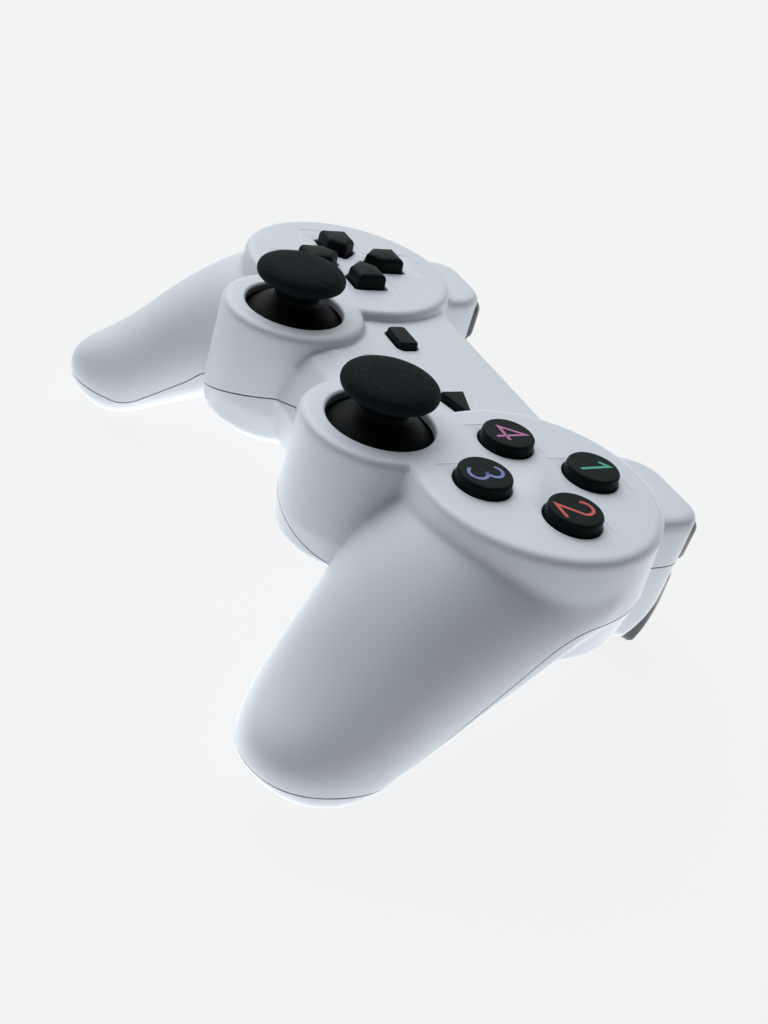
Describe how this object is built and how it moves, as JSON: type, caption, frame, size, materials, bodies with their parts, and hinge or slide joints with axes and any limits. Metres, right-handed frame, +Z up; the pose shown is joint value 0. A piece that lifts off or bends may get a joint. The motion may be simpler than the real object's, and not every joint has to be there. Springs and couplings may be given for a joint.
{
  "type": "twin-stick game controller",
  "caption": "White twin-grip game controller with tilting thumbsticks, direction pad, round face buttons, bumpers and hinged triggers in a two-part moulded housing.",
  "frame": {"origin": "centre of the footprint, on the surface the controller rests on", "axes": "+Z up from the table, +Y away from the player towards the bumpers, +X to the player's right"},
  "size_m": [0.159, 0.102, 0.0569],
  "materials": {
    "shell": "fine satin moulding texture",
    "key_black": "satin black",
    "stick_rubber": "fine-grained thumb rubber",
    "shoulder_grey": "smooth dark grey",
    "inner_plastic": "plain moulded",
    "mat_rubber": "soft silicone",
    "film": "amber film with copper tracks",
    "board": "solder-masked board",
    "battery": "wrapped cell",
    "metal": "plated steel",
    "weight": "sintered weight",
    "light": "tinted light guide"
  },
  "bodies": {
    "housing": {"front_shell": "shell", "rear_shell": "shell", "left_trigger_pin": "metal", "right_trigger_pin": "metal", "left_stick_housing": "inner_plastic", "right_stick_housing": "inner_plastic", "left_stick_sensors": "board", "right_stick_sensors": "board", "left_stick_switch": "metal", "right_stick_switch": "metal", "dpad_membrane": "mat_rubber", "face_membrane": "mat_rubber", "centre_membrane": "mat_rubber", "left_bumper_membrane": "mat_rubber", "right_bumper_membrane": "mat_rubber", "button_film": "film", "inner_frame": "inner_plastic", "main_board": "board", "battery_pack": "battery", "battery_tray": "inner_plastic", "left_motor": "metal", "right_motor": "metal", "case_screws": "metal", "charge_socket": "metal", "light_window": "light"},
    "face_button_top": {"face_button_top": "key_black"},
    "face_button_right": {"face_button_right": "key_black"},
    "face_button_bottom": {"face_button_bottom": "key_black"},
    "face_button_left": {"face_button_left": "key_black"},
    "select_button": {"select_button": "key_black"},
    "start_button": {"start_button": "key_black"},
    "home_button": {"home_button": "key_black"},
    "dpad_pivot": {"dpad_pivot": "metal"},
    "dpad": {"dpad": "key_black"},
    "left_bumper": {"left_bumper": "shoulder_grey"},
    "left_trigger": {"left_trigger": "shoulder_grey"},
    "left_stick_click": {"left_stick_plunger": "inner_plastic"},
    "left_stick_yoke": {"left_stick_yoke": "inner_plastic"},
    "left_stick": {"left_stick_cap": "stick_rubber", "left_stick_shaft": "inner_plastic"},
    "left_stick_arch": {"left_stick_arch": "inner_plastic"},
    "left_weight": {"left_weight": "weight"},
    "right_bumper": {"right_bumper": "shoulder_grey"},
    "right_trigger": {"right_trigger": "shoulder_grey"},
    "right_stick_click": {"right_stick_plunger": "inner_plastic"},
    "right_stick_yoke": {"right_stick_yoke": "inner_plastic"},
    "right_stick": {"right_stick_cap": "stick_rubber", "right_stick_shaft": "inner_plastic"},
    "right_stick_arch": {"right_stick_arch": "inner_plastic"},
    "right_weight": {"right_weight": "weight"}
  },
  "joints": [
    {"name": "face_button_top_press", "type": "slide", "parent": "housing", "child": "face_button_top", "axis": [0, -0.1172, -0.9931], "range_m": [0, 0.0013], "stiffness_N_per_m": 300, "springref_m": -0.0001, "deforming": ["face_membrane"]},
    {"name": "face_button_right_press", "type": "slide", "parent": "housing", "child": "face_button_right", "axis": [0, -0.1172, -0.9931], "range_m": [0, 0.0013], "stiffness_N_per_m": 300, "springref_m": -0.0001, "deforming": ["face_membrane"]},
    {"name": "face_button_bottom_press", "type": "slide", "parent": "housing", "child": "face_button_bottom", "axis": [0, -0.1172, -0.9931], "range_m": [0, 0.0013], "stiffness_N_per_m": 300, "springref_m": -0.0001, "deforming": ["face_membrane"]},
    {"name": "face_button_left_press", "type": "slide", "parent": "housing", "child": "face_button_left", "axis": [0, -0.1172, -0.9931], "range_m": [0, 0.0013], "stiffness_N_per_m": 300, "springref_m": -0.0001, "deforming": ["face_membrane"]},
    {"name": "select_button_press", "type": "slide", "parent": "housing", "child": "select_button", "axis": [0, -0.1172, -0.9931], "range_m": [0, 0.0007], "stiffness_N_per_m": 300, "springref_m": -0.0001, "deforming": ["centre_membrane"]},
    {"name": "start_button_press", "type": "slide", "parent": "housing", "child": "start_button", "axis": [0, -0.1172, -0.9931], "range_m": [0, 0.0007], "stiffness_N_per_m": 300, "springref_m": -0.0001, "deforming": ["centre_membrane"]},
    {"name": "home_button_press", "type": "slide", "parent": "housing", "child": "home_button", "axis": [0, -0.1172, -0.9931], "range_m": [0, 0.0007], "stiffness_N_per_m": 300, "springref_m": -0.0001, "deforming": ["centre_membrane"]},
    {"name": "dpad_tilt_near_far", "type": "hinge", "parent": "housing", "child": "dpad_pivot", "pos_m": [-0.046, 0.01335, 0.03933], "axis": [1, 0, 0], "range_deg": [-4, 4], "stiffness_Nm_per_rad": 0.06, "deforming": ["dpad_membrane"]},
    {"name": "dpad_tilt_left_right", "type": "hinge", "parent": "dpad_pivot", "child": "dpad", "pos_m": [-0.046, 0.01335, 0.03933], "axis": [0, 0.9931, -0.1172], "range_deg": [-4, 4], "stiffness_Nm_per_rad": 0.06, "deforming": ["dpad_membrane"]},
    {"name": "left_bumper_press", "type": "slide", "parent": "housing", "child": "left_bumper", "axis": [0, -0.9931, 0.1172], "range_m": [0, 0.0012], "stiffness_N_per_m": 300, "springref_m": -0.0001, "deforming": ["left_bumper_membrane"]},
    {"name": "left_trigger_pull", "type": "hinge", "parent": "housing", "child": "left_trigger", "pos_m": [-0.04615, 0.03875, 0.01992], "axis": [-1, 0, 0], "range_deg": [0, 14], "stiffness_Nm_per_rad": 0.03, "springref_deg": -1.72},
    {"name": "left_stick_press", "type": "slide", "parent": "housing", "child": "left_stick_click", "axis": [0, -0.1172, -0.9931], "range_m": [0, 0.0005], "stiffness_N_per_m": 2500, "springref_m": -0.00005},
    {"name": "left_stick_tilt_near_far", "type": "hinge", "parent": "left_stick_click", "child": "left_stick_yoke", "pos_m": [-0.0235, -0.01105, 0.03486], "axis": [1, 0, 0], "range_deg": [-16, 16], "stiffness_Nm_per_rad": 0.03},
    {"name": "left_stick_tilt_left_right", "type": "hinge", "parent": "left_stick_yoke", "child": "left_stick", "pos_m": [-0.0235, -0.01105, 0.03486], "axis": [0, 0.9931, -0.1172], "range_deg": [-16, 16], "stiffness_Nm_per_rad": 0.03},
    {"name": "left_stick_arch_turn", "type": "hinge", "parent": "housing", "child": "left_stick_arch", "pos_m": [-0.0235, -0.01105, 0.03486], "axis": [0, 0.9931, -0.1172], "range_deg": [-17, 17]},
    {"name": "left_weight_spin", "type": "hinge", "parent": "housing", "child": "left_weight", "pos_m": [-0.05305, -0.00608, 0.02491], "axis": [-0.317, -0.8383, -0.4435], "continuous": true},
    {"name": "right_bumper_press", "type": "slide", "parent": "housing", "child": "right_bumper", "axis": [0, -0.9931, 0.1172], "range_m": [0, 0.0012], "stiffness_N_per_m": 300, "springref_m": -0.0001, "deforming": ["right_bumper_membrane"]},
    {"name": "right_trigger_pull", "type": "hinge", "parent": "housing", "child": "right_trigger", "pos_m": [0.04615, 0.03875, 0.01992], "axis": [-1, 0, 0], "range_deg": [0, 14], "stiffness_Nm_per_rad": 0.03, "springref_deg": -1.72},
    {"name": "right_stick_press", "type": "slide", "parent": "housing", "child": "right_stick_click", "axis": [0, -0.1172, -0.9931], "range_m": [0, 0.0005], "stiffness_N_per_m": 2500, "springref_m": -0.00005},
    {"name": "right_stick_tilt_near_far", "type": "hinge", "parent": "right_stick_click", "child": "right_stick_yoke", "pos_m": [0.0235, -0.01105, 0.03486], "axis": [1, 0, 0], "range_deg": [-16, 16], "stiffness_Nm_per_rad": 0.03},
    {"name": "right_stick_tilt_left_right", "type": "hinge", "parent": "right_stick_yoke", "child": "right_stick", "pos_m": [0.0235, -0.01105, 0.03486], "axis": [0, 0.9931, -0.1172], "range_deg": [-16, 16], "stiffness_Nm_per_rad": 0.03},
    {"name": "right_stick_arch_turn", "type": "hinge", "parent": "housing", "child": "right_stick_arch", "pos_m": [0.0235, -0.01105, 0.03486], "axis": [0, 0.9931, -0.1172], "range_deg": [-17, 17]},
    {"name": "right_weight_spin", "type": "hinge", "parent": "housing", "child": "right_weight", "pos_m": [0.05305, -0.00608, 0.02491], "axis": [0.317, -0.8383, -0.4435], "continuous": true}
  ],
  "couplings": [
    {"joint": "left_stick_arch_turn", "follows": "left_stick_tilt_left_right", "ratio": 1},
    {"joint": "right_stick_arch_turn", "follows": "right_stick_tilt_left_right", "ratio": 1}
  ]
}
